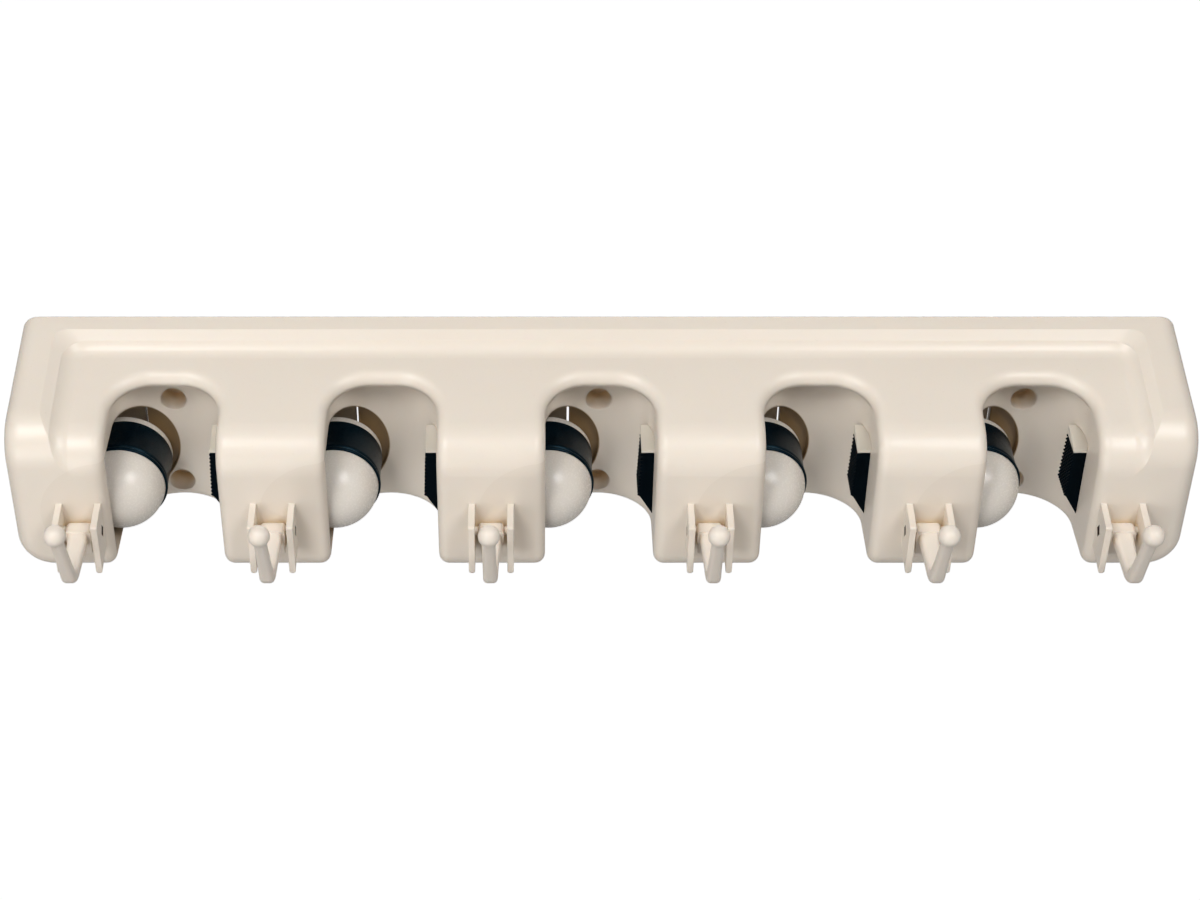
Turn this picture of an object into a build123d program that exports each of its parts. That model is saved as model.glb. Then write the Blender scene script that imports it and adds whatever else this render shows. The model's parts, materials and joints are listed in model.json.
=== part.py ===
from build123d import *
import os
from math import atan, cos, radians, sin, sqrt, tan

# Wall rack that hangs long-handled tools: each handle is gripped between a rubber-tyred roller and a pad.
# Millimetres, +X along the rack, +Y into the wall, +Z up. The origin is the middle of the wall screw holes,
# on the wall plane. Heights and levels below are measured up from the rack's bottom edge.

# Housing, overall
length = 400.0
height = 69.0
depth = 54.0
top_fall = 12.0
wall = 3.0
corner_radius = 12.0
edge_radius = 6.0
bend_radius = 16.0
over = 1.0

# Sunken panel between the raised rim and the two end borders
rim_depth = 8.0
border_width = 14.5
panel_sink = 4.8
panel_bend_radius = 14.5
step_angle = 50.0
step_corner_radius = 10.0
step_root_radius = 7.0
step_reach = 4.0
lip_angle = 25.0
lip_width = 2.2
lip_depth = 2.0

# Handle slots
slot_count = 5
slot_pitch = 74.0
slot_width = 37.4
slot_back = 13.0
slot_top_back = 21.9
slot_corner_radius = 14.0
slot_lip = 4.4
slot_edge_radius = 3.6

# Wall screws, in every other slot
screw_low = 7.8
screw_rise = 35.5
screw_hole_radius = 2.25
screw_head_radius = 4.5
screw_seat = 3.0
screw_boss_radius = 5.6
web_side = 8.0
web_height = 50.0
web_thickness = 3.8

# Rollers
roller_inset = 1.2
roller_height = 21.0
roller_radius = 15.5
tyre_lip = 0.3
tyre_lip_width = 1.6
tyre_thickness = 3.0
tyre_width = 16.5
tyre_fit = 0.05
flange_width = 2.5
flange_step = 0.3
dome_step = 0.5
roller_back = 14.0
roller_hub_radius = 6.5
roller_rim = 2.5
roller_travel = 14.4
travel_angle = 30.0
pocket_offset = 3.0
pocket_room = 5.0
pocket_clearance = 1.5

# Axles and their guides
axle_radius = 3.0
axle_reach = 22.5
snap_radius = 3.5
snap_width = 1.6
running_fit = 0.05
collar_radius = 6.5
bush_radius = 4.0
bush_fit = 0.1
guide_gap = 0.2
guide_thickness = 3.0
guide_margin = 3.0
guide_slit = 0.8
guide_low = 6.0
guide_high = 51.0
guide_corner = 6.0
post_gap = 2.4
post_low = 11.0
post_high = 44.0
post_radius = 3.5
post_screw_depth = 14.0
washer_radius = 7.0
washer_thickness = 1.0
small_screw_radius = 1.5
small_screw_length = 11.0
small_head_radius = 3.2
small_head_height = 2.2
small_hole_fit = 0.3

# Grip pads and their holders
pad_back = 23.5
pad_front = 35.3
pad_stand_high = 4.6
pad_stand_low = 5.4
pad_root = 2.1
pad_low = 10.0
pad_face_end = 17.5
pad_high = 36.4
pad_rib_pitch = 1.7
pad_rib_depth = 0.7
pad_gap = 0.15
cap_back_height = 3.3
cap_front_height = 0.9
cap_inset = 0.2
holder_depth = 4.9
holder_flange = 2.0
holder_lap = 3.0
holder_fit = 0.25

# Hooks and the cheeks that carry them
end_hook_x = 176.6
cheek_gap = 10.9
cheek_thickness = 2.2
cheek_reach = 11.0
cheek_low = 7.8
cheek_root_low = 10.6
cheek_high = 29.2
cheek_fall = 1.9
cheek_tip_radius = 0.8
cheek_end_radius = 0.95
pivot_reach = 3.0
pivot_height = 19.8
pin_radius = 1.5
pin_end_inset = 1.1
recess_depth = 1.0
recess_wide = 3.8
recess_tall = 5.4
hub_width = 8.6
hub_front = 6.8
hub_rise = 2.7
hub_corner_radius = 1.2
heel_height = 8.7
heel_depth = 4.2
stop_gap = 0.3
arm_width = 7.2
arm_thickness = 5.0
bend_width = 4.7
bend_thickness = 4.6
leg_width = 4.1
leg_thickness = 4.2
arm_corner_radius = 1.6
arm_end = (26.0, 17.4)
tip = (36.5, 44.7)
arm_bend_radius = 5.0
ball_radius = 3.6

# Places worked out from the sizes above
bottom_z = -(screw_low + screw_rise / 2)
slope = top_fall / depth
front_top = height - top_fall
fall_angle = atan(slope)
step_depth = panel_sink * cos(fall_angle)
half_slot = slot_width / 2
roller_offset = half_slot - roller_inset
flange_radius = roller_radius - flange_step
dome_radius = roller_radius - dome_step
pocket_radius = roller_radius + tyre_lip + pocket_room
pad_face_high = half_slot - pad_stand_high
pad_face_low = half_slot - pad_stand_low
pad_rear = half_slot + pad_root
holder_reach = half_slot + holder_depth
post_offset = slot_pitch - holder_reach - post_gap - post_radius
guide_left = post_offset + guide_margin
slot_xs = [(number - (slot_count - 1) / 2) * slot_pitch for number in range(slot_count)]
screw_xs = slot_xs[::2]
screw_heights = [screw_low, screw_low + screw_rise]
pillar_xs = [left + slot_pitch / 2 for left in slot_xs[:-1]]
hook_xs = [-end_hook_x] + pillar_xs + [end_hook_x]
travel_x = -roller_travel * cos(radians(travel_angle))
travel_z = roller_travel * sin(radians(travel_angle))
guide_front = slot_back - wall - guide_gap
guide_back = guide_front - guide_thickness
tyre_back = roller_back + flange_width
tyre_front = tyre_back + tyre_width
axle_front = roller_back + axle_reach
pocket_front = tyre_front + dome_radius + pocket_clearance
cap_low = pad_high + pad_gap
cap_high = cap_low + cap_back_height
pivot_y = -(depth + pivot_reach)


def side_plane(x):
    """Sketch plane across the rack: local x is +Y, local y is the height, and extrusions run to +X."""
    return Plane(origin=(x, 0, bottom_z), x_dir=(0, 1, 0), z_dir=(1, 0, 0))


def front_plane(back, x=0.0):
    """Sketch plane seen from the front, `back` in front of the wall: extrusions run forward, to -Y."""
    return Plane(origin=(x, -back, bottom_z), x_dir=(1, 0, 0), z_dir=(0, -1, 0))


def level_plane(level, x=0.0):
    """Sketch plane seen from above, at a height: local x is +X, local y is +Y, extrusions run up."""
    return Plane(origin=(x, 0, bottom_z + level))


def axle_plane(x):
    """Sketch plane through a roller's axis: local x is the radius, local y is +Y."""
    return Plane(origin=(x - roller_offset, 0, bottom_z + roller_height))


def axle_axis(x):
    return Axis((x - roller_offset, 0, bottom_z + roller_height), (0, 1, 0))


def top_at(y):
    return height + slope * y


def panel_at(y):
    return top_at(y) - panel_sink


def save(builder, name):
    builder.part.label = name
    export_step(builder.part, f"parts/{name}.step")


def height_of(edge):
    return edge.center().Z - bottom_z


def slot_outline(half, back):
    """Plan of a slot: a half-round back with straight sides that run out past the front."""
    with Locations((0, -back - half)):
        Circle(half)
    with Locations((0, -back - half - depth / 2)):
        Rectangle(2 * half, depth)


def slot_tool(x):
    """Solid that fills a slot: a deep alcove under a sloped roof, and a shallower opening above it."""
    with BuildPart(mode=Mode.PRIVATE) as tool:
        with BuildSketch(level_plane(-over, x)):
            slot_outline(half_slot, slot_back)
        extrude(amount=height + over)
        with BuildSketch(side_plane(x - half_slot - over)):
            with BuildLine():
                Polyline(
                    (0, panel_at(0) - slot_lip),
                    (-2 * depth, panel_at(-2 * depth) - slot_lip),
                    (-2 * depth, height + over),
                    (0, height + over),
                    close=True,
                )
            make_face()
        extrude(amount=slot_width + 2 * over, mode=Mode.SUBTRACT)
        with BuildSketch(level_plane(-over, x)):
            with Locations((0, -slot_top_back - depth / 2)):
                RectangleRounded(slot_width, depth, slot_corner_radius)
        extrude(amount=height + 2 * over)
    return tool.part


def step_foot(edge, angle, drop):
    """Where a step that starts at the rim's `edge` and leans by `angle` has come down by `drop`."""
    lean = radians(angle) + fall_angle
    along = drop / sin(radians(angle))
    return (-edge - along * cos(lean), top_at(-edge) - along * sin(lean))


def panel_profile(x, edge, angle, drop):
    """Profile of the sunken front, `drop` below the top plane, closed well outside the rack."""
    lift = step_depth - drop
    front = -depth - lift
    floor_at_front = panel_at(front) + lift / cos(fall_angle)
    fade = height / 2
    clear = depth + height / 2
    rise = depth
    lean = radians(angle) + fall_angle
    with BuildSketch(side_plane(x), mode=Mode.PRIVATE) as profile:
        with BuildLine():
            Polyline(
                step_foot(edge, angle, drop),
                (front, floor_at_front),
                (front, fade),
                (-clear, fade),
                (-clear, top_at(-edge) + rise),
                (-edge + rise / tan(lean), top_at(-edge) + rise),
                close=True,
            )
        make_face()
        bend = profile.vertices().sort_by_distance((front, floor_at_front))[0]
        fillet(bend, panel_bend_radius + lift)
    return profile.sketch


def panel_tool(edge, border, angle, drop, corner, root):
    """Solid that sinks the front by `drop` between the rim and the end borders, with leaning sides."""
    run = drop / tan(radians(angle))
    half = length / 2 - border - run
    far = half + run + step_reach
    with BuildPart(mode=Mode.PRIVATE) as tool:
        extrude(panel_profile(-half, edge, angle, drop), amount=2 * half, dir=(1, 0, 0))
        for side in (-1, 1):
            floor = panel_profile(side * half, edge, angle, drop)
            above = panel_profile(side * far, edge, angle, drop - (far - half) * tan(radians(angle)))
            loft([floor, above], ruled=True)
        middle_y, middle_height = step_foot(edge, angle, drop / 2)
        corners = [(side * (half + run / 2), middle_y, bottom_z + middle_height) for side in (-1, 1)]
        fillet([tool.edges().sort_by_distance(place)[0] for place in corners], corner)
        if root:
            foot_y, foot_height = step_foot(edge, angle, drop)
            ends = [e for e in tool.edges() if abs(abs(e.center().X) - half) < over / 10]
            floor_ends = [e for e in ends if e.center().Y > -depth - over / 10]
            floor_ends = [e for e in floor_ends if height_of(e) < panel_at(e.center().Y) + over / 4]
            rim_root = tool.edges().sort_by_distance((0, foot_y, bottom_z + foot_height))[0]
            fillet(floor_ends + [rim_root], root)
    return tool.part


def hollow_tool():
    """Solid of the space inside the housing, open to the wall, that leaves every skin one wall thick."""
    drop = wall * sqrt(1 + slope * slope)
    rim_inner = rim_depth - wall
    front_inner = depth - wall
    with BuildPart(mode=Mode.PRIVATE) as tool:
        with BuildSketch(side_plane(-length / 2 + wall)) as profile:
            with BuildLine():
                Polyline(
                    (over, wall),
                    (over, height - wall),
                    (-rim_inner, top_at(-rim_inner) - drop),
                    (-rim_inner, panel_at(-rim_inner) - drop),
                    (-front_inner, panel_at(-front_inner) - drop),
                    (-front_inner, wall),
                    close=True,
                )
            make_face()
            bend = profile.vertices().sort_by_distance((-front_inner, panel_at(-front_inner) - drop))[0]
            fillet(bend, panel_bend_radius - wall)
        extrude(amount=length - 2 * wall)
        fillet(tool.edges().filter_by(Axis.Y).group_by(Axis.Z)[0], corner_radius - wall)
        for slot_x in slot_xs:
            with BuildSketch(level_plane(0, slot_x)):
                slot_outline(half_slot + wall, slot_back - wall)
            extrude(amount=height, mode=Mode.SUBTRACT)
    return tool.part


def mouth_edges(part, x):
    """Edges where a slot breaks through the front face, the rounded bend and the sunken panel."""
    found = []
    for edge in part.edges():
        centre = edge.center()
        inside = abs(centre.X - x) < half_slot + over and centre.Y < -slot_back and height_of(edge) > over
        on_front = abs(centre.Y + depth) < over / 2
        on_bend = edge.geom_type == GeomType.CIRCLE and height_of(edge) > height / 2
        curved = edge.geom_type != GeomType.LINE
        on_panel = curved and abs(height_of(edge) - panel_at(centre.Y)) < over * 1.5
        if inside and (on_front or on_bend or on_panel):
            found.append(edge)
    return found


def outer_edges(part):
    """Edges round the two ends and along the bottom of the front face."""
    found = []
    for edge in part.edges():
        centre = edge.center()
        front = abs(centre.Y + depth) < over / 10
        at_end = abs(abs(centre.X) - length / 2) < over / 10 and height_of(edge) > corner_radius + over
        at_corner = front and edge.geom_type == GeomType.CIRCLE
        at_bottom = front and height_of(edge) < over / 10
        if centre.Y < -over / 10 and (at_end or at_corner or at_bottom):
            found.append(edge)
    return found


os.makedirs("parts", exist_ok=True)

# Housing: one moulded shell with slots, roller pockets, pad windows, screw bosses and hook cheeks
with BuildPart() as housing:
    with BuildSketch(side_plane(-length / 2)) as end_profile:
        with BuildLine():
            Polyline((0, 0), (0, height), (-depth, front_top), (-depth, 0), close=True)
        make_face()
        fillet(end_profile.vertices().sort_by_distance((-depth, front_top))[0], bend_radius)
    extrude(amount=length)
    fillet(housing.edges().filter_by(Axis.Y).group_by(Axis.Z)[0], corner_radius)
    fillet(outer_edges(housing), edge_radius)
    # The front is sunk twice: down to the panel, then a shallower lean that eases the step's upper edge
    step_rounds = (step_corner_radius, step_root_radius)
    add(panel_tool(rim_depth, border_width, step_angle, step_depth, *step_rounds), mode=Mode.SUBTRACT)
    lip_edge = (rim_depth - lip_width, border_width - lip_width)
    add(panel_tool(*lip_edge, lip_angle, lip_depth, step_corner_radius + lip_width, 0), mode=Mode.SUBTRACT)
    for slot_x in slot_xs:
        add(slot_tool(slot_x), mode=Mode.SUBTRACT)
    for slot_x in slot_xs:
        fillet(mouth_edges(housing, slot_x), slot_edge_radius)
    add(hollow_tool(), mode=Mode.SUBTRACT)

    for slot_x in slot_xs:
        # Pocket that lets the roller stand in the slot and draw back into the pillar
        with BuildSketch(front_plane(slot_back - wall - over, slot_x - roller_offset)):
            with Locations((-pocket_offset, roller_height + pocket_offset)):
                Circle(pocket_radius)
        extrude(amount=pocket_front - slot_back + wall + over, mode=Mode.SUBTRACT)
        # Window in the other side of the slot for the grip pad
        with BuildSketch(side_plane(slot_x + half_slot / 2)):
            with Locations((-(pad_back + pad_front) / 2, (pad_low + cap_high) / 2)):
                Rectangle(pad_front - pad_back + 2 * holder_fit, cap_high - pad_low + 2 * holder_fit)
        extrude(amount=half_slot / 2 + wall + over, mode=Mode.SUBTRACT)
        # Web behind the slot that closes the pocket beside the guide
        web_left = -roller_offset + collar_radius + guide_slit
        with BuildSketch(level_plane(wall / 2, slot_x)):
            with Locations(((web_side + web_left) / 2, -guide_back - web_thickness / 2)):
                Rectangle(web_side - web_left, web_thickness)
        extrude(amount=web_height)
        # Posts that carry the roller guide
        with BuildSketch(front_plane(guide_front, slot_x)):
            with Locations((-post_offset, post_low), (-post_offset, post_high)):
                Circle(post_radius)
        extrude(amount=depth - wall - guide_front)
        with BuildSketch(front_plane(guide_front, slot_x)):
            with Locations((-post_offset, post_low), (-post_offset, post_high)):
                Circle(small_screw_radius + running_fit)
        extrude(amount=post_screw_depth, mode=Mode.SUBTRACT)

    # Screw bosses: a sunk seat for the head in front, a clear hole through to the wall
    screw_places = [(x, level) for x in screw_xs for level in screw_heights]
    with BuildSketch(front_plane(0)):
        with Locations(*screw_places):
            Circle(screw_boss_radius)
    extrude(amount=slot_back - wall / 2)
    with BuildSketch(front_plane(screw_seat)):
        with Locations(*screw_places):
            Circle(screw_head_radius)
    extrude(amount=slot_back, mode=Mode.SUBTRACT)
    with BuildSketch(front_plane(-over)):
        with Locations(*screw_places):
            Circle(screw_hole_radius)
    extrude(amount=slot_back, mode=Mode.SUBTRACT)

    for hook_x in hook_xs:
        # Two cheeks stand out of the pillar
        for side in (-1, 1):
            cheek_mid = hook_x + side * (cheek_gap + cheek_thickness) / 2
            with BuildPart(mode=Mode.PRIVATE) as cheek:
                with BuildSketch(side_plane(cheek_mid - cheek_thickness / 2)) as cheek_outline:
                    with BuildLine():
                        Polyline(
                            (-depth + wall / 2, cheek_root_low),
                            (-depth + wall / 2, cheek_high),
                            (-depth, cheek_high),
                            (-depth - cheek_reach, cheek_high - cheek_fall),
                            (-depth - cheek_reach, cheek_low),
                            (-depth, cheek_root_low),
                            close=True,
                        )
                    make_face()
                    knee = cheek_outline.vertices().sort_by_distance((-depth - cheek_reach, cheek_high))[0]
                    fillet(knee, cheek_tip_radius)
                extrude(amount=cheek_thickness)
                under = (cheek_mid, -depth - cheek_reach / 2, bottom_z + cheek_low)
                lower_face = cheek.faces().sort_by_distance(under)[0]
                thickness_edges = lower_face.edges().filter_by(Axis.X)
                fillet(lower_face.edges() - thickness_edges, cheek_end_radius)
            add(cheek.part)
            # Diamond recess outside the pin's bore
            with BuildSketch(side_plane(hook_x + side * (cheek_gap / 2 + cheek_thickness))):
                with BuildLine():
                    Polyline(
                        (pivot_y - recess_wide / 2, pivot_height),
                        (pivot_y, pivot_height + recess_tall / 2),
                        (pivot_y + recess_wide / 2, pivot_height),
                        (pivot_y, pivot_height - recess_tall / 2),
                        close=True,
                    )
                make_face()
            extrude(amount=-side * recess_depth, mode=Mode.SUBTRACT)
        with BuildSketch(side_plane(hook_x - cheek_gap / 2 - cheek_thickness)):
            with Locations((pivot_y, pivot_height)):
                Circle(pin_radius + running_fit)
        extrude(amount=cheek_gap + 2 * cheek_thickness, mode=Mode.SUBTRACT)
save(housing, "housing")

# Screws that hold the roller guides to the posts, as one group
with BuildPart() as guide_screws:
    post_places = [(x - post_offset, level) for x in slot_xs for level in (post_low, post_high)]
    with BuildSketch(front_plane(guide_back - small_head_height)):
        with Locations(*post_places):
            Circle(small_head_radius)
    extrude(amount=small_head_height)
    with BuildSketch(front_plane(guide_back)):
        with Locations(*post_places):
            Circle(small_screw_radius)
    extrude(amount=small_screw_length)
save(guide_screws, "guide_screws")

for number, slot_x in enumerate(slot_xs, 1):
    # Roller guide: plate behind the pocket with the slanted track for the axle
    with BuildPart() as roller_guide:
        guide_right = roller_offset - collar_radius
        with BuildSketch(front_plane(guide_back, slot_x)):
            with Locations((-(guide_left + guide_right) / 2, (guide_low + guide_high) / 2)):
                RectangleRounded(guide_left - guide_right, guide_high - guide_low, guide_corner)
            with Locations((-roller_offset + travel_x / 2, roller_height + travel_z / 2)):
                SlotCenterToCenter(
                    roller_travel, 2 * (bush_radius + bush_fit), rotation=-travel_angle, mode=Mode.SUBTRACT
                )
            with Locations((-post_offset, post_low), (-post_offset, post_high)):
                Circle(small_screw_radius + small_hole_fit, mode=Mode.SUBTRACT)
        extrude(amount=guide_thickness)
    save(roller_guide, f"roller_guide_{number}")

    # Axle: collar in front of the guide, bush in its track, and a pin with a snap head for the roller
    with BuildPart() as roller_axle:
        with BuildSketch(axle_plane(slot_x)):
            with BuildLine():
                Polyline(
                    (0, -guide_back + guide_gap),
                    (bush_radius, -guide_back + guide_gap),
                    (bush_radius, -guide_front - guide_gap),
                    (collar_radius, -guide_front - guide_gap),
                    (collar_radius, -roller_back + guide_gap),
                    (axle_radius, -roller_back + guide_gap),
                    (axle_radius, -axle_front),
                    (snap_radius, -axle_front - running_fit),
                    (axle_radius - running_fit, -axle_front - snap_width),
                    (0, -axle_front - snap_width),
                    close=True,
                )
            make_face()
        revolve(axis=axle_axis(slot_x))
        with BuildSketch(front_plane(guide_back - guide_gap, slot_x - roller_offset)):
            with Locations((0, roller_height)):
                Circle(small_screw_radius + running_fit)
        extrude(amount=small_screw_length + over, mode=Mode.SUBTRACT)
    save(roller_axle, f"roller_axle_{number}")

    # Washer and screw that keep the axle in its track
    washer_front = guide_back - guide_gap
    with BuildPart() as axle_washer:
        with BuildSketch(front_plane(washer_front - washer_thickness, slot_x - roller_offset)):
            with Locations((0, roller_height)):
                Circle(washer_radius)
                Circle(small_screw_radius + small_hole_fit, mode=Mode.SUBTRACT)
        extrude(amount=washer_thickness)
    save(axle_washer, f"axle_washer_{number}")

    with BuildPart() as axle_screw:
        head_back = washer_front - washer_thickness - small_head_height
        with BuildSketch(front_plane(head_back, slot_x - roller_offset)):
            with Locations((0, roller_height)):
                Circle(small_head_radius)
        extrude(amount=small_head_height)
        with BuildSketch(front_plane(head_back + small_head_height, slot_x - roller_offset)):
            with Locations((0, roller_height)):
                Circle(small_screw_radius)
        extrude(amount=small_screw_length)
    save(axle_screw, f"axle_screw_{number}")

    # Roller core: rear flange, seat for the tyre, round nose, and a bore that snaps over the axle
    seat_radius = roller_radius - tyre_thickness
    bore_radius = axle_radius + running_fit
    snap_room = snap_radius + 2 * running_fit
    with BuildPart() as roller_core:
        with BuildSketch(axle_plane(slot_x)):
            with BuildLine():
                Polyline(
                    (bore_radius, -axle_front + running_fit),
                    (bore_radius, -roller_back),
                    (roller_hub_radius, -roller_back),
                    (roller_hub_radius, -tyre_front + roller_rim),
                    (seat_radius - roller_rim, -tyre_front + roller_rim),
                    (seat_radius - roller_rim, -roller_back),
                    (flange_radius, -roller_back),
                    (flange_radius, -tyre_back),
                    (seat_radius, -tyre_back),
                    (seat_radius, -tyre_front),
                    (dome_radius, -tyre_front),
                )
                CenterArc((0, -tyre_front), dome_radius, 0, -90)
                Polyline(
                    (0, -tyre_front - dome_radius),
                    (0, -axle_front - snap_width - 2 * running_fit),
                    (snap_room, -axle_front - snap_width - 2 * running_fit),
                    (snap_room, -axle_front + running_fit),
                    (bore_radius, -axle_front + running_fit),
                )
            make_face()
        revolve(axis=axle_axis(slot_x))
    save(roller_core, f"roller_core_{number}")

    # Tyre: rubber band on the core, with a small lip along its front edge
    with BuildPart() as roller_tyre:
        with BuildSketch(axle_plane(slot_x)):
            with BuildLine():
                Polyline(
                    (seat_radius + tyre_fit, -tyre_back),
                    (roller_radius - tyre_lip, -tyre_back),
                    (roller_radius, -tyre_back - tyre_lip),
                    (roller_radius, -tyre_front + tyre_lip_width + tyre_lip),
                    (roller_radius + tyre_lip, -tyre_front + tyre_lip_width),
                    (roller_radius + tyre_lip, -tyre_front + tyre_lip),
                    (roller_radius, -tyre_front),
                    (seat_radius + tyre_fit, -tyre_front),
                    close=True,
                )
            make_face()
        revolve(axis=axle_axis(slot_x))
    save(roller_tyre, f"roller_tyre_{number}")

    # Grip pad: rubber block through the window, ribbed where it meets the handle, sloped away below
    with BuildPart() as grip_pad:
        with BuildSketch(front_plane(pad_back, slot_x)):
            with BuildLine():
                Polyline(
                    (pad_face_high, pad_high),
                    (pad_face_low, pad_face_end),
                    (half_slot, pad_low),
                    (pad_rear, pad_low),
                    (pad_rear, pad_high),
                    close=True,
                )
            make_face()
        extrude(amount=pad_front - pad_back)
        rib_count = int((pad_high - pad_face_end) / pad_rib_pitch)
        lean = (pad_face_high - pad_face_low) / (pad_high - pad_face_end)
        drops = [(rib + 0.5) * pad_rib_pitch for rib in range(rib_count)]
        with BuildSketch(front_plane(pad_back - over, slot_x)):
            with Locations(*[(pad_face_high - lean * drop, pad_high - drop) for drop in drops]):
                Rectangle(sqrt(2) * pad_rib_depth, sqrt(2) * pad_rib_depth, rotation=45)
        extrude(amount=pad_front - pad_back + 2 * over, mode=Mode.SUBTRACT)
    save(grip_pad, f"grip_pad_{number}")

    # Pad holder: backs the pad, caps its top with a sloped lid and laps the wall inside the pillar
    with BuildPart() as pad_holder:
        with BuildSketch(front_plane(pad_back, slot_x)):
            with Locations(((pad_rear + pad_gap + holder_reach) / 2, (pad_low + cap_low) / 2)):
                Rectangle(holder_reach - pad_rear - pad_gap, cap_low - pad_low)
        extrude(amount=pad_front - pad_back)
        with BuildSketch(side_plane(slot_x + pad_face_high + cap_inset)):
            with BuildLine():
                Polyline(
                    (-pad_back, cap_low),
                    (-pad_back, cap_high),
                    (-pad_front, cap_low + cap_front_height),
                    (-pad_front, cap_low),
                    close=True,
                )
            make_face()
        extrude(amount=holder_reach - pad_face_high - cap_inset)
        with BuildSketch(side_plane(slot_x + half_slot + wall + pad_gap)):
            with Locations((-(pad_back + pad_front) / 2, (pad_low + cap_high) / 2)):
                Rectangle(pad_front - pad_back + 2 * holder_lap, cap_high - pad_low + 2 * holder_lap)
        extrude(amount=holder_flange)
    save(pad_holder, f"pad_holder_{number}")

for number, hook_x in enumerate(hook_xs, 1):
    # Hook: hub with two pins, a heel that stops on the pillar, an arm, and a raised leg with a ball end
    hub_radius = pivot_reach - stop_gap
    arm_y, arm_height = arm_end
    tip_y, tip_height = tip
    pin_length = cheek_gap + 2 * (cheek_thickness - pin_end_inset)
    with BuildPart() as hook:
        with BuildSketch(side_plane(hook_x - hub_width / 2)):
            with Locations((pivot_y, pivot_height)):
                Circle(hub_radius)
            hub_length = hub_front - pivot_reach
            with Locations((pivot_y - hub_length / 2, pivot_height)):
                Rectangle(hub_length, 2 * hub_rise)
            with Locations((pivot_y, pivot_height + hub_rise + hub_radius / 2)):
                Rectangle(2 * hub_radius, hub_radius, mode=Mode.SUBTRACT)
        extrude(amount=hub_width)
        fillet(hook.faces().sort_by(Axis.Z)[-1].edges().filter_by(Axis.Y), hub_corner_radius)
        with BuildSketch(side_plane(hook_x - arm_width / 2)):
            with Locations((-depth - stop_gap - heel_depth / 2, pivot_height - heel_height / 2)):
                Rectangle(heel_depth, heel_height)
        extrude(amount=arm_width)
        with BuildSketch(side_plane(hook_x - pin_length / 2)):
            with Locations((pivot_y, pivot_height)):
                Circle(pin_radius)
        extrude(amount=pin_length)
        with BuildLine(side_plane(hook_x)) as arm_path:
            FilletPolyline(
                (pivot_y, pivot_height),
                (-depth - arm_y, arm_height),
                (-depth - tip_y, tip_height),
                radius=arm_bend_radius,
            )
        arm_line = arm_path.line
        with BuildSketch(Plane(origin=arm_line @ 0, x_dir=(1, 0, 0), z_dir=arm_line % 0)) as arm_start:
            RectangleRounded(arm_width, arm_thickness, arm_corner_radius)
        bend = arm_path.edges().filter_by(GeomType.CIRCLE)[0]
        with BuildSketch(Plane(origin=bend @ 1, x_dir=(1, 0, 0), z_dir=bend % 1)) as arm_bend:
            RectangleRounded(bend_width, bend_thickness, arm_corner_radius)
        with BuildSketch(Plane(origin=arm_line @ 1, x_dir=(1, 0, 0), z_dir=arm_line % 1)) as leg_end:
            RectangleRounded(leg_width, leg_thickness, arm_corner_radius)
        sections = [arm_start.sketch, arm_bend.sketch, leg_end.sketch]
        sweep(sections=sections, path=arm_line, multisection=True)
        with Locations((hook_x, -depth - tip_y, bottom_z + tip_height)):
            Sphere(ball_radius)
    save(hook, f"hook_{number}")
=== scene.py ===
import json
from math import cos, pi, radians, sin

import bpy
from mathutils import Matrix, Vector


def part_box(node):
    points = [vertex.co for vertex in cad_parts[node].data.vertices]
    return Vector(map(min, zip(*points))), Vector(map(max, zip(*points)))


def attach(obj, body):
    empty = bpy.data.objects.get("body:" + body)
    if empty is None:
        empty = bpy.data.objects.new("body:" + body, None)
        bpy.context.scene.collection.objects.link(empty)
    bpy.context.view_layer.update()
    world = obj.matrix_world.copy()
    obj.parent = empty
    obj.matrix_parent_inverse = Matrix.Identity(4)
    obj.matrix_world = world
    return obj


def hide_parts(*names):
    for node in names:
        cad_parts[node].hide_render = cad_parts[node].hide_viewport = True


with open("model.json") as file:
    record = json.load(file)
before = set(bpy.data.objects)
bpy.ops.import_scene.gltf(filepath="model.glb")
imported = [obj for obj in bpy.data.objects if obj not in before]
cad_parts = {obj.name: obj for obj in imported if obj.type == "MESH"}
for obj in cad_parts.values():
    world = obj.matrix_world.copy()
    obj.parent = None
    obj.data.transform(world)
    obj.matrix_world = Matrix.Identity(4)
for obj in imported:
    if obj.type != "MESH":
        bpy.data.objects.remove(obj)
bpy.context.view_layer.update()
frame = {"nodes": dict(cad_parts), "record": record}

MM = 0.001

# Places on the rack: x from its middle, y from the wall, heights from its bottom edge
rack_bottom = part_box("housing")[0].z
slot_numbers = range(1, 6)
slot_pitch = 74 * MM
pillar_front = -56 * MM
pocket_shift = 3 * MM
pocket_radius = 20.8 * MM
pocket_floor = -20 * MM
pocket_rear = -9.5 * MM
pockets_end = 168 * MM
lip_half_width = 24 * MM
lip_start, lip_full, lip_top = 38 * MM, 48 * MM, 59 * MM
cheek_outer = 7.65 * MM
recess_wide, recess_tall, recess_depth = 3.8 * MM, 5.4 * MM, 1.0 * MM
hook_pivots = [joint["pos_m"] for joint in frame["record"]["behaviour"]["joints"] if "hook" in joint["name"]]

# Painted shade: colours painted where light only comes round by bounces, and how far off a wall still closes
# a place in
cavity_painted_shade = (0.85, 0.66, 0.42)
pocket_painted_shade = (0.30, 0.195, 0.095)
guide_painted_shade = (0.10, 0.060, 0.028)
recess_painted_shade = (0.045, 0.030, 0.020)
cavity_reach = 10 * MM


# Node helpers

def new_material(name):
    """A node material, with its tree and its principled shader."""
    material = bpy.data.materials.new(name)
    material.use_nodes = True
    tree = material.node_tree
    return material, tree, tree.nodes["Principled BSDF"]


def feed(tree, socket, value):
    """Set a socket to a constant, or link it from another node's output."""
    if isinstance(value, bpy.types.NodeSocket):
        tree.links.new(value, socket)
    else:
        socket.default_value = value


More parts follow.
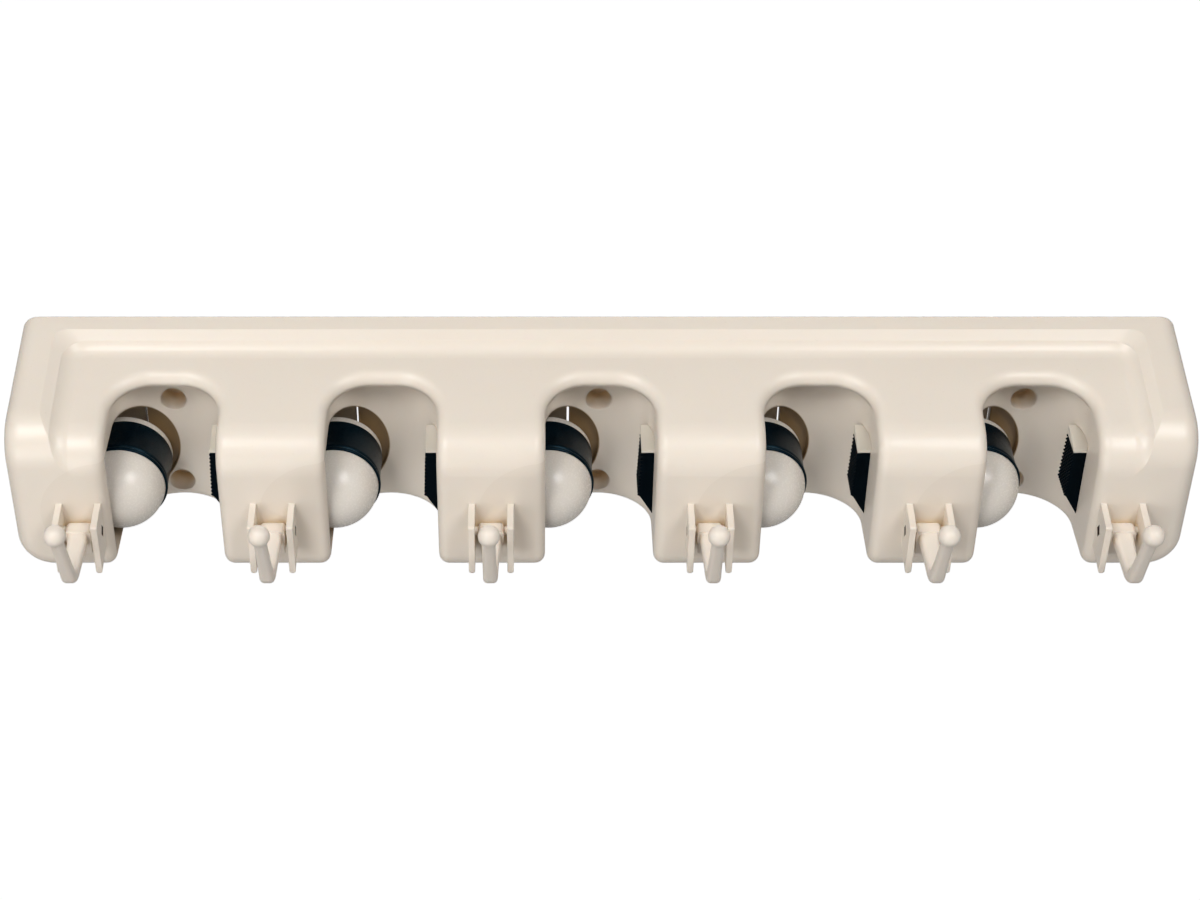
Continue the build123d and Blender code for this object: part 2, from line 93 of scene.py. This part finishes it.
def add_node(tree, kind, **inputs):
    """A node of a kind, with its named inputs fed."""
    node = tree.nodes.new(kind)
    for name, value in inputs.items():
        feed(tree, node.inputs[name], value)
    return node


def add_vector(tree, operation, *vectors):
    """Vector sum of a kind, each input a constant or another node's output."""
    node = tree.nodes.new("ShaderNodeVectorMath")
    node.operation = operation
    for socket, vector in zip(node.inputs, vectors):
        feed(tree, socket, vector)
    return node


def add_math(tree, operation, *numbers):
    """Number from a sum of a kind, each input a constant or another node's output."""
    node = tree.nodes.new("ShaderNodeMath")
    node.operation = operation
    for socket, number in zip(node.inputs, numbers):
        feed(tree, socket, number)
    return node.outputs["Value"]


def add_offset(tree, number, origin):
    """Distance of a number from an origin, on either side."""
    return add_math(tree, "ABSOLUTE", add_math(tree, "SUBTRACT", number, origin))


def add_place(tree):
    """The point in the piece's own metres, which are the frame's, so patterns ride with the piece."""
    return tree.nodes.new("ShaderNodeTexCoord").outputs["Object"]


def add_noise(tree, scale, detail=3.0, roughness=0.5, stretch=(1.0, 1.0, 1.0)):
    """Noise with `scale` waves per metre, stretched along an axis by a factor under one."""
    place = add_node(tree, "ShaderNodeMapping", Vector=add_place(tree), Scale=stretch)
    noise = add_node(
        tree, "ShaderNodeTexNoise",
        Vector=place.outputs["Vector"], Scale=scale, Detail=detail, Roughness=roughness,
    )
    return noise.outputs["Fac"]


def add_ramp(tree, factor, low, high, low_at=0.35, high_at=0.65):
    """Colour from `low` to `high` as the factor goes from low_at to high_at."""
    ramp = add_node(tree, "ShaderNodeValToRGB", Fac=factor)
    for element, place, colour in zip(ramp.color_ramp.elements, (low_at, high_at), (low, high)):
        element.position = place
        element.color = (*colour, 1.0)
    return ramp.outputs["Color"]


def add_range(tree, factor, low, high, low_at=0.3, high_at=0.7):
    """Number from `low` to `high` as the factor goes from low_at to high_at."""
    span = add_node(tree, "ShaderNodeMapRange", Value=factor)
    for name, value in zip(("From Min", "From Max", "To Min", "To Max"), (low_at, high_at, low, high)):
        span.inputs[name].default_value = value
    return span.outputs["Result"]


def add_mix(tree, factor, colour, deep):
    """Colour that turns from `deep` to a linked colour as the factor goes from 0 to 1."""
    factor_in, first_colour_in, second_colour_in, colour_out = 0, 6, 7, 2
    mix = tree.nodes.new("ShaderNodeMix")
    mix.data_type = "RGBA"
    feed(tree, mix.inputs[factor_in], factor)
    feed(tree, mix.inputs[first_colour_in], (*deep, 1.0))
    feed(tree, mix.inputs[second_colour_in], colour)
    return mix.outputs[colour_out]


def add_painted_cavity_shade(tree, colour, deep, open_at):
    """Painted shade: colour that turns to `deep` in holes and narrow gaps, by ambient occlusion, and stays
    where `open_at` of the sky shows.
    """
    closed_at = 0.05
    openness = add_node(tree, "ShaderNodeAmbientOcclusion", Distance=cavity_reach)
    openness.samples = 8
    factor = add_range(tree, openness.outputs["AO"], 0.0, 1.0, closed_at, open_at)
    return add_mix(tree, factor, colour, deep)


def add_painted_pocket_shade(tree, colour, deep):
    """Painted shade: colour that turns to `deep` inside the round roller pockets, more so towards their
    back.
    """
    low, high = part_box("roller_core_1")
    centre = ((low.x + high.x) / 2 - pocket_shift, 0.0, (low.z + high.z) / 2 + pocket_shift)
    half = slot_pitch / 2
    place = add_place(tree)
    shifted = add_vector(tree, "SUBTRACT", place, centre).outputs["Vector"]
    wrapped = add_vector(tree, "WRAP", shifted, (half, 1.0, 1.0), (-half, -1.0, -1.0)).outputs["Vector"]
    across = add_vector(tree, "MULTIPLY", wrapped, (1.0, 0.0, 1.0)).outputs["Vector"]
    radius = add_vector(tree, "LENGTH", across).outputs["Value"]
    sides = add_node(tree, "ShaderNodeSeparateXYZ", Vector=place)
    rim_start, rim_end = pocket_radius + 0.1 * MM, pocket_radius + 0.5 * MM
    factor = add_range(tree, radius, 0.0, 1.0, rim_start, rim_end)
    front = add_range(tree, sides.outputs["Y"], 1.0, 0.0, pillar_front, pocket_floor)
    behind = add_range(tree, sides.outputs["Y"], 0.0, 1.0, pocket_rear, pocket_rear + 0.5 * MM)
    beyond = add_range(tree, sides.outputs["X"], 0.0, 1.0, pockets_end, pockets_end + 2 * MM)
    for other in (front, behind, beyond):
        factor = add_math(tree, "MAXIMUM", factor, other)
    return add_mix(tree, factor, colour, deep)


def add_painted_recess_shade(tree, colour, deep):
    """Painted shade: colour that turns to `deep` inside the diamond recesses of the cheeks, outside the
    hooks' pins.
    """
    sides = add_node(tree, "ShaderNodeSeparateXYZ", Vector=add_place(tree))
    first_x, pivot_y, pivot_z = hook_pivots[0]
    from_hook = add_offset(tree, sides.outputs["X"], first_x)
    for hook_x, *_ in hook_pivots[1:]:
        from_hook = add_math(tree, "MINIMUM", from_hook, add_offset(tree, sides.outputs["X"], hook_x))
    along = add_math(tree, "DIVIDE", add_offset(tree, sides.outputs["Y"], pivot_y), recess_wide / 2)
    up = add_math(tree, "DIVIDE", add_offset(tree, sides.outputs["Z"], pivot_z), recess_tall / 2)
    wall_start, wall_end = 1.02, 1.06
    factor = add_range(tree, add_math(tree, "ADD", along, up), 0.0, 1.0, wall_start, wall_end)
    recess_floor = cheek_outer - recess_depth
    inner = add_range(tree, from_hook, 1.0, 0.0, recess_floor - 0.1 * MM, recess_floor - 0.05 * MM)
    outer = add_range(tree, from_hook, 0.0, 1.0, cheek_outer - 0.06 * MM, cheek_outer - 0.02 * MM)
    for other in (inner, outer):
        factor = add_math(tree, "MAXIMUM", factor, other)
    return add_mix(tree, factor, colour, deep)


def add_lip(tree, low, high):
    """Number that is `high` along the arched mouths of the slots and `low` elsewhere."""
    half = slot_pitch / 2
    sides = add_node(tree, "ShaderNodeSeparateXYZ", Vector=add_place(tree))
    across = add_math(tree, "ABSOLUTE", add_math(tree, "WRAP", sides.outputs["X"], half, -half))
    near = add_range(tree, across, 1.0, 0.0, lip_half_width, lip_half_width + 3 * MM)
    above = add_range(tree, sides.outputs["Z"], 0.0, 1.0, rack_bottom + lip_start, rack_bottom + lip_full)
    top = rack_bottom + lip_top
    below = add_range(tree, sides.outputs["Z"], 1.0, 0.0, top, top + 2 * MM)
    share = add_math(tree, "MULTIPLY", add_math(tree, "MULTIPLY", near, above), below)
    return add_range(tree, share, low, high, 0.0, 1.0)


def add_roughness(tree, shader, grain, middle, spread):
    """Roughness that goes with a grain, by `spread` to each side of its middle."""
    varied = add_range(tree, grain, middle - spread, middle + spread)
    tree.links.new(varied, shader.inputs["Roughness"])


def add_surface(tree, shader, grain, depth, edge_radius):
    """Normal from a grain `depth` metres deep, laid over edges softened to `edge_radius`."""
    bevel = add_node(tree, "ShaderNodeBevel", Radius=edge_radius)
    bevel.samples = 6
    bump = add_node(
        tree, "ShaderNodeBump",
        Height=grain, Distance=depth, Strength=1.0, Normal=bevel.outputs["Normal"],
    )
    tree.links.new(bump.outputs["Normal"], shader.inputs["Normal"])


# Materials

def moulded_plastic(name, light, dark, roughness, edge_radius, deep=None, open_at=0.40):
    """Satin moulded plastic: faint flow marks in the colour, a fine skin, softened edges, and painted shade
    in holes and gaps when `deep` is given.
    """
    material, tree, shader = new_material(name)
    flow = add_noise(tree, scale=24.0, stretch=(0.45, 1.0, 1.0))
    colour = add_ramp(tree, flow, dark, light)
    # Painted shade: the colour turns to `deep` where ambient occlusion finds holes and narrow gaps.
    if deep:
        colour = add_painted_cavity_shade(tree, colour, deep, open_at)
    tree.links.new(colour, shader.inputs["Base Color"])
    skin = add_noise(tree, scale=1500.0, roughness=0.6)
    add_roughness(tree, shader, skin, roughness, spread=0.05)
    add_surface(tree, shader, skin, depth=0.003 * MM, edge_radius=edge_radius)
    shader.inputs["IOR"].default_value = 1.46
    shader.inputs["Subsurface Weight"].default_value = 0.12
    shader.inputs["Subsurface Radius"].default_value = (1.0, 0.6, 0.35)
    shader.inputs["Subsurface Scale"].default_value = 1.2 * MM
    return material


def housing_plastic(name, light, dark, roughness, edge_radius, lip_radius):
    """The shell's plastic, with painted brown shade in its holes, gaps, pockets and recesses, and the mouths
    of the slots eased the most.
    """
    material = moulded_plastic(name, light, dark, roughness, edge_radius, cavity_painted_shade)
    tree = material.node_tree
    colour = tree.nodes["Principled BSDF"].inputs["Base Color"]
    # Painted shade: brown in the roller pockets and dark in the cheeks' diamond recesses, laid over the
    # painted cavity shade.
    for add_shade_painter, deep in ((add_painted_pocket_shade, pocket_painted_shade), (add_painted_recess_shade, recess_painted_shade)):
        tree.links.new(add_shade_painter(tree, colour.links[0].from_socket, deep), colour)
    bevel = next(node for node in tree.nodes if node.bl_idname == "ShaderNodeBevel")
    tree.links.new(add_lip(tree, edge_radius, lip_radius), bevel.inputs["Radius"])
    return material


def moulded_rubber(name, light, dark, roughness, gloss, bump):
    """Blue-black rubber with a fine grain and a faint bloom."""
    material, tree, shader = new_material(name)
    bloom = add_noise(tree, scale=140.0, detail=4.0)
    tree.links.new(add_ramp(tree, bloom, dark, light), shader.inputs["Base Color"])
    grain = add_noise(tree, scale=2600.0, roughness=0.6)
    add_roughness(tree, shader, grain, roughness, spread=0.07)
    add_surface(tree, shader, grain, depth=bump, edge_radius=0.2 * MM)
    shader.inputs["Specular IOR Level"].default_value = gloss
    shader.inputs["Specular Tint"].default_value = (0.35, 0.75, 1.0, 1.0)
    return material


def plated_steel(name, light, dark):
    """Zinc-plated screw steel with fine turning marks."""
    material, tree, shader = new_material(name)
    marks = add_noise(tree, scale=1800.0, detail=5.0, roughness=0.7, stretch=(1.0, 0.15, 1.0))
    tree.links.new(add_ramp(tree, marks, dark, light), shader.inputs["Base Color"])
    add_roughness(tree, shader, marks, 0.33, spread=0.09)
    add_surface(tree, shader, marks, depth=0.01 * MM, edge_radius=0.15 * MM)
    shader.inputs["Metallic"].default_value = 1.0
    return material


tyre_rubber = moulded_rubber(
    "tyre_rubber", light=(0.0010, 0.0060, 0.0105), dark=(0.0005, 0.0034, 0.0065),
    roughness=0.30, gloss=0.16, bump=0.012 * MM,
)
pad_rubber = moulded_rubber(
    "pad_rubber", light=(0.0006, 0.0024, 0.0045), dark=(0.0003, 0.0013, 0.0025),
    roughness=0.42, gloss=0.06, bump=0.01 * MM,
)
finishes = {
    "shell": housing_plastic(
        "ivory_housing", light=(0.775, 0.695, 0.60), dark=(0.755, 0.675, 0.58),
        roughness=0.32, edge_radius=0.5 * MM, lip_radius=2.2 * MM,
    ),
    "hook_plastic": moulded_plastic(
        "ivory_hook", light=(0.79, 0.71, 0.62), dark=(0.77, 0.69, 0.60),
        roughness=0.38, edge_radius=0.4 * MM,
    ),
    "roller_plastic": moulded_plastic(
        "ivory_roller", light=(0.735, 0.685, 0.62), dark=(0.715, 0.665, 0.60),
        roughness=0.26, edge_radius=0.3 * MM,
    ),
    "holder_plastic": moulded_plastic(
        "ivory_holder", light=(0.74, 0.69, 0.60), dark=(0.71, 0.66, 0.57),
        roughness=0.45, edge_radius=0.3 * MM,
    ),
    # Guide plates: a darker, browner ivory than the shell, with painted brown shade wherever less than the
    # full sky shows.
    "guide_plastic": moulded_plastic(
        "ivory_guide", light=(0.70, 0.60, 0.46), dark=(0.67, 0.57, 0.43),
        roughness=0.48, edge_radius=0.3 * MM, deep=guide_painted_shade, open_at=1.0,
    ),
    "rubber": tyre_rubber,
    "steel": plated_steel("screw_steel", light=(0.66, 0.66, 0.66), dark=(0.42, 0.42, 0.43)),
}
for part in frame["record"]["subparts"]:
    mesh = frame["nodes"][part["node"]].data
    mesh.materials.clear()
    mesh.materials.append(finishes[part["material_slot"]])


# Mesh helpers

def loop_faces(rings, count, closed=False):
    """Quads between rings of `count` points, each closed on itself, and back to the first ring if closed."""
    faces = []
    for ring in range(rings if closed else rings - 1):
        near, far = ring * count, (ring + 1) % rings * count
        for step in range(count):
            after = (step + 1) % count
            faces.append((near + step, near + after, far + after, far + step))
    return faces


def arc(centre, radius, start, end, steps):
    """Points on an arc in a profile, angles in degrees."""
    turns = [radians(start + (end - start) * step / steps) for step in range(steps + 1)]
    return [(centre[0] + radius * cos(turn), centre[1] + radius * sin(turn)) for turn in turns]


def circle(steps):
    """Cosine and sine of even steps round a full turn."""
    turns = [2 * pi * step / steps for step in range(steps)]
    return [(cos(turn), sin(turn)) for turn in turns]


# Rubber pieces, each in place of its plain solid

stud_depth = 0.95 * MM


def new_piece(name, points, faces, material, body, node):
    """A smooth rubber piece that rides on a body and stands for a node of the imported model."""
    mesh = bpy.data.meshes.new(name)
    mesh.from_pydata(points, [], faces)
    mesh.validate()
    mesh.shade_smooth()
    mesh.materials.append(material)
    piece = bpy.data.objects.new(name, mesh)
    bpy.context.collection.objects.link(piece)
    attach(piece, body)
    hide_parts(node)
    return piece


def make_tyre(number):
    """Rubber tyre: a hollowed band, a groove, and a round bead next to the roller's nose."""
    node = f"roller_tyre_{number}"
    low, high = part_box(node)
    axis_x, axis_z = (low.x + high.x) / 2, (low.z + high.z) / 2
    front, back = low.y, high.y
    outer = (high.x - low.x) / 2
    inner = outer - 3.25 * MM
    band = outer - 0.3 * MM
    bead, edge = 0.7 * MM, 0.6 * MM
    groove_at, groove_wide = front + 1.75 * MM, 0.5 * MM
    groove_bottom, groove_side = band - 0.5 * MM, band - 0.15 * MM
    hollow, hollow_steps = 0.18 * MM, 12
    around = 144
    profile = [(inner, front + 0.1 * MM), (outer - 2 * bead, front)]
    profile += arc((outer - bead, front + bead), bead, -90, 90, 12)
    profile += [(groove_bottom, groove_at - 0.25 * MM), (groove_bottom, groove_at + 0.05 * MM)]
    profile += [(groove_side, groove_at + groove_wide / 2)]
    start, end = groove_at + groove_wide, back - edge
    for step in range(hollow_steps + 1):
        share = step / hollow_steps
        profile.append((band - hollow * sin(pi * share), start + (end - start) * share))
    profile += arc((band - edge, back - edge), edge, 15, 90, 6)
    profile += [(inner, back)]
    points = []
    for radius, y in profile:
        points += [(axis_x + radius * across, y, axis_z + radius * up) for across, up in circle(around)]
    faces = loop_faces(len(profile), around, closed=True)
    new_piece(f"tyre_{number}", points, faces, tyre_rubber, f"roller_{number}", node)


def pad_outline(low, high):
    """Left side of a pad from its top down: its ribbed face, with each rib's depth, and its slanted foot."""
    ribs, rib_steps, slant_steps = 12, 8, 10
    top, turn, bottom = high.z, low.z + 7.5 * MM, low.z
    lean = 0.8 * MM
    start, end = low.x + stud_depth, low.x + 5.4 * MM
    face = []
    for step in range(ribs * rib_steps + 1):
        share = step / (ribs * rib_steps)
        valley = 1 - abs(sin(pi * ribs * share))
        face.append((low.x + lean * (1 - share), top + (turn - top) * share, valley))
    slant = []
    for step in range(1, slant_steps + 1):
        share = step / slant_steps
        slant.append((start + (end - start) * share, turn + (bottom - turn) * share))
    return face, slant


def pad_rings(low, high):
    """Places along a pad's depth, each with its inset at the eased ends and its cross groove's depth."""
    edge, edge_steps = 0.25 * MM, 4
    rows, row_steps = 8, 6
    turns = [radians(90.0 * step / edge_steps) for step in range(edge_steps + 1)]
    insets = [(edge * (1 - cos(turn)), edge * (1 - sin(turn))) for turn in turns]
    rings = [(low.y + along, inset, 0.0) for along, inset in insets]
    start, end = low.y + edge, high.y - edge
    for step in range(1, rows * row_steps):
        share = step / (rows * row_steps)
        rings.append((start + (end - start) * share, 0.0, 1 - abs(cos(pi * rows * share))))
    rings += [(high.y - along, inset, 0.0) for along, inset in reversed(insets)]
    return rings


def make_pad(number):
    """Rubber grip pad: a face of small studs that meets the handle, a slanted foot and eased ends."""
    node = f"grip_pad_{number}"
    low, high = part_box(node)
    face, slant = pad_outline(low, high)
    rings = pad_rings(low, high)
    middle_x, middle_z = (low.x + high.x) / 2, (low.z + high.z) / 2
    half_x, half_z = (high.x - low.x) / 2, (high.z - low.z) / 2
    points = []
    for y, inset, groove in rings:
        left = [(x + stud_depth * max(valley, groove), z) for x, z, valley in face] + slant
        right = [(high.x, z) for _, z in reversed(left)]
        for x, z in left + right:
            shrunk_x = middle_x + (x - middle_x) * (1 - inset / half_x)
            shrunk_z = middle_z + (z - middle_z) * (1 - inset / half_z)
            points.append((shrunk_x, y, shrunk_z))
    rows = len(face) + len(slant)
    count = 2 * rows
    faces = loop_faces(len(rings), count)
    first_cap_face = len(faces)
    last = (len(rings) - 1) * count
    for row in range(rows - 1):
        after = row + 1
        faces.append((row, count - 1 - row, count - 1 - after, after))
        faces.append((last + row, last + after, last + count - 1 - after, last + count - 1 - row))
    piece = new_piece(f"pad_{number}", points, faces, pad_rubber, "rack", node)
    for polygon in piece.data.polygons[first_cap_face:]:
        polygon.use_smooth = False


for number in slot_numbers:
    make_tyre(number)
    make_pad(number)


# Floor

def make_floor(drop):
    """A white floor well below the rack that turns up into a round wall, and lights nothing but itself."""
    flat_radius, bend_radius, wall_top = 6.0, 4.0, 12.0
    bend_steps, around = 16, 96
    profile = arc((flat_radius, bend_radius), bend_radius, -90, 0, bend_steps)
    profile += [(flat_radius + bend_radius, wall_top)]
    points = []
    for radius, height in profile:
        z = rack_bottom - drop + height
        points += [(radius * across, radius * along, z) for across, along in circle(around)]
    flat_face = tuple(range(around))
    mesh = bpy.data.meshes.new("floor")
    mesh.from_pydata(points, [], loop_faces(len(profile), around) + [flat_face])
    mesh.shade_smooth()
    floor = bpy.data.objects.new("floor", mesh)
    bpy.context.collection.objects.link(floor)
    material, tree, shader = new_material("pale_floor")
    cloud = add_noise(tree, scale=0.8, detail=2.0)
    tone = add_ramp(tree, cloud, low=(0.90, 0.90, 0.90), high=(0.93, 0.93, 0.93))
    tree.links.new(tone, shader.inputs["Base Color"])
    shader.inputs["Roughness"].default_value = 0.9
    shader.inputs["Emission Color"].default_value = (1.0, 1.0, 1.0, 1.0)
    shader.inputs["Emission Strength"].default_value = 1.0
    mesh.materials.append(material)
    floor.visible_diffuse = False
    floor.visible_glossy = False
    floor.visible_shadow = False


make_floor(drop=0.25)


# Light and camera

rack_middle = (0.0, -0.03, 0.0)
rack_rear = (0.0, 0.0, 0.0)


def area_light(name, place, target, size, power):
    """A soft rectangular light at a place, turned to its target."""
    data = bpy.data.lights.new(name, "AREA")
    data.shape = "RECTANGLE"
    data.size, data.size_y = size
    data.energy = power
    lamp = bpy.data.objects.new(name, data)
    bpy.context.collection.objects.link(lamp)
    lamp.location = place
    lamp.rotation_euler = (Vector(target) - Vector(place)).to_track_quat("-Z", "Y").to_euler()


def studio_world(below, above):
    """A plain grey surround, lighter below, as over a white table."""
    world = bpy.data.worlds.new("studio")
    bpy.context.scene.world = world
    world.use_nodes = True
    tree = world.node_tree
    place = tree.nodes.new("ShaderNodeTexCoord").outputs["Generated"]
    height = add_node(tree, "ShaderNodeSeparateXYZ", Vector=place).outputs["Z"]
    share = add_range(tree, height, 0.0, 1.0, -0.4, 0.4)
    tone = add_ramp(tree, share, (below, below, below), (above, above, above), 0.0, 1.0)
    tree.links.new(tone, tree.nodes["Background"].inputs["Color"])


area_light("key_right", place=(0.50, -0.62, 0.95), target=rack_middle, size=(0.5, 0.5), power=6.7)
area_light("key_left", place=(-0.50, -0.62, 0.95), target=rack_middle, size=(0.5, 0.5), power=7.2)
area_light("front_left", place=(-0.50, -0.87, 0.02), target=rack_middle, size=(0.45, 0.45), power=2.3)
area_light("low_right", place=(0.70, -0.75, -0.50), target=rack_middle, size=(0.9, 0.7), power=0.6)
area_light("low_left", place=(-0.70, -0.75, -0.50), target=rack_middle, size=(0.9, 0.7), power=0.6)
area_light("back_fill", place=(0.0, 0.95, 0.40), target=rack_rear, size=(1.2, 0.6), power=3.5)
studio_world(below=0.32, above=0.18)

camera_down = 37.0
lens = bpy.data.cameras.new("photo_camera")
lens.sensor_width = 36.0
lens.lens = 69.58
lens.shift_x = 0.0562
lens.clip_start = 0.01
camera = bpy.data.objects.new("photo_camera", lens)
bpy.context.collection.objects.link(camera)
camera.location = (-23.0 * MM, -669.0 * MM, rack_bottom + 515.3 * MM)
camera.rotation_euler = (radians(90.0 - camera_down), 0.0, 0.0)
bpy.context.scene.camera = camera
bpy.context.scene.view_settings.view_transform = "Standard"
